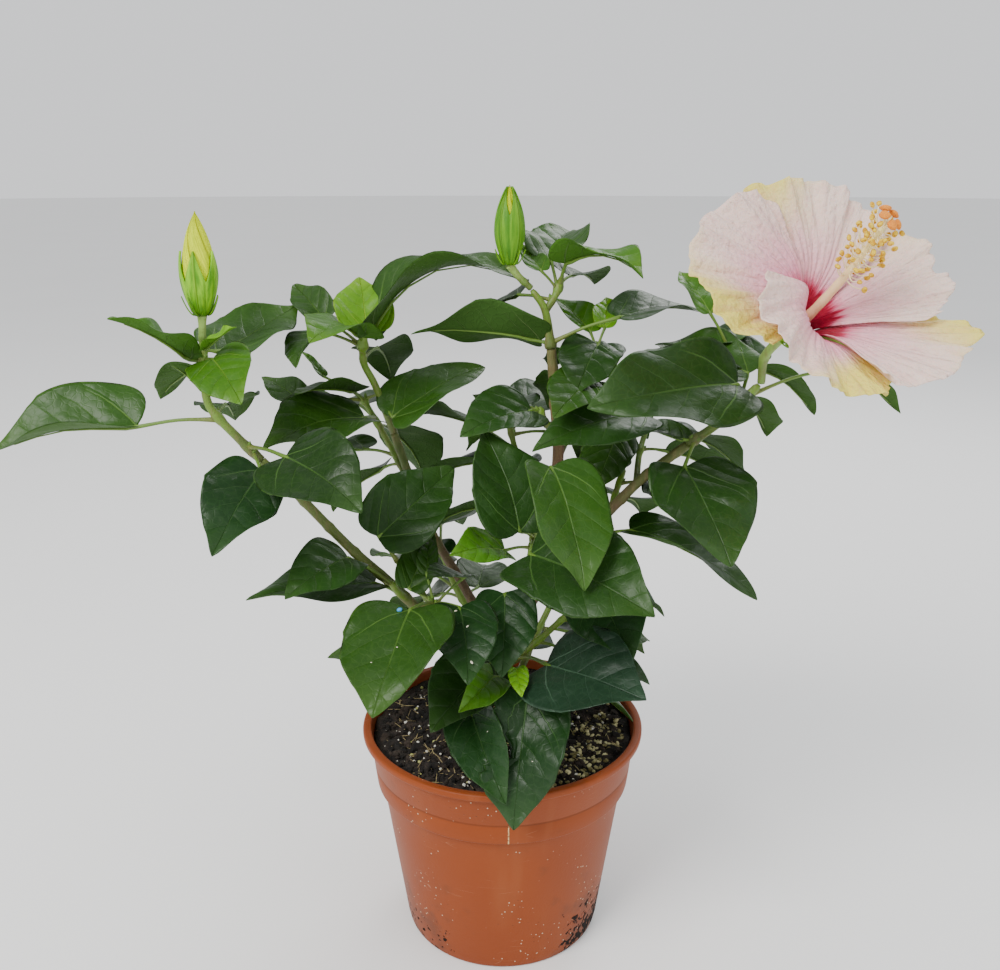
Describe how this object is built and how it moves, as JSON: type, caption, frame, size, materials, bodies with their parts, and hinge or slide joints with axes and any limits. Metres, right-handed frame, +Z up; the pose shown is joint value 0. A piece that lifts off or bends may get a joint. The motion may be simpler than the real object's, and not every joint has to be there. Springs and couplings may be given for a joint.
{
  "type": "potted hibiscus shrub",
  "caption": "Young hibiscus shrub in a tapered plastic nursery pot, with arching canes, broad glossy leaves, an open flower and buds; it stands on the pot's flat foot.",
  "frame": {"origin": "centre of the pot's flat underside, on the ground", "axes": "+Z up, +X to the right and -Y towards the viewer, on whose side the pot's mould seam is"},
  "size_m": [0.4077, 0.2199, 0.373],
  "materials": {
    "pot_plastic": "matt, slightly soiled",
    "compost": "rough and crumbly",
    "bark": "thin smooth bark",
    "green_stem": "smooth green skin",
    "leaf": "glossy",
    "petal": "satin",
    "column": "matt",
    "calyx": "satin",
    "bud_petal": "satin"
  },
  "bodies": {
    "root": {"pot": "pot_plastic", "soil": "compost", "trunk": "bark", "bough_centre": "bark", "bough_left": "bark", "bough_centre_left": "bark", "bough_right": "bark", "pruned_stub": "green_stem", "foliage_left": "leaf", "foliage_left_low": "leaf", "foliage_centre_left": "leaf", "foliage_back_left": "leaf", "foliage_centre": "leaf", "foliage_centre_mid": "leaf", "foliage_centre_inner": "leaf", "foliage_front": "leaf", "foliage_front_left": "leaf", "foliage_front_low": "leaf", "foliage_front_right": "leaf", "foliage_right": "leaf", "foliage_right_low": "leaf", "foliage_right_mid": "leaf", "foliage_back_low_left": "leaf", "foliage_back_low_right": "leaf", "foliage_back_mid": "leaf", "foliage_back_right": "leaf", "petal_1": "petal", "petal_2": "petal", "petal_3": "petal", "petal_4": "petal", "petal_5": "petal", "column": "column", "flower_calyx": "calyx", "flower_stalk": "green_stem", "bud_left_petals": "bud_petal", "bud_left_calyx": "calyx", "bud_left_stalk": "green_stem", "bud_centre_petals": "bud_petal", "bud_centre_calyx": "calyx", "bud_centre_stalk": "green_stem"}
  },
  "joints": []
}
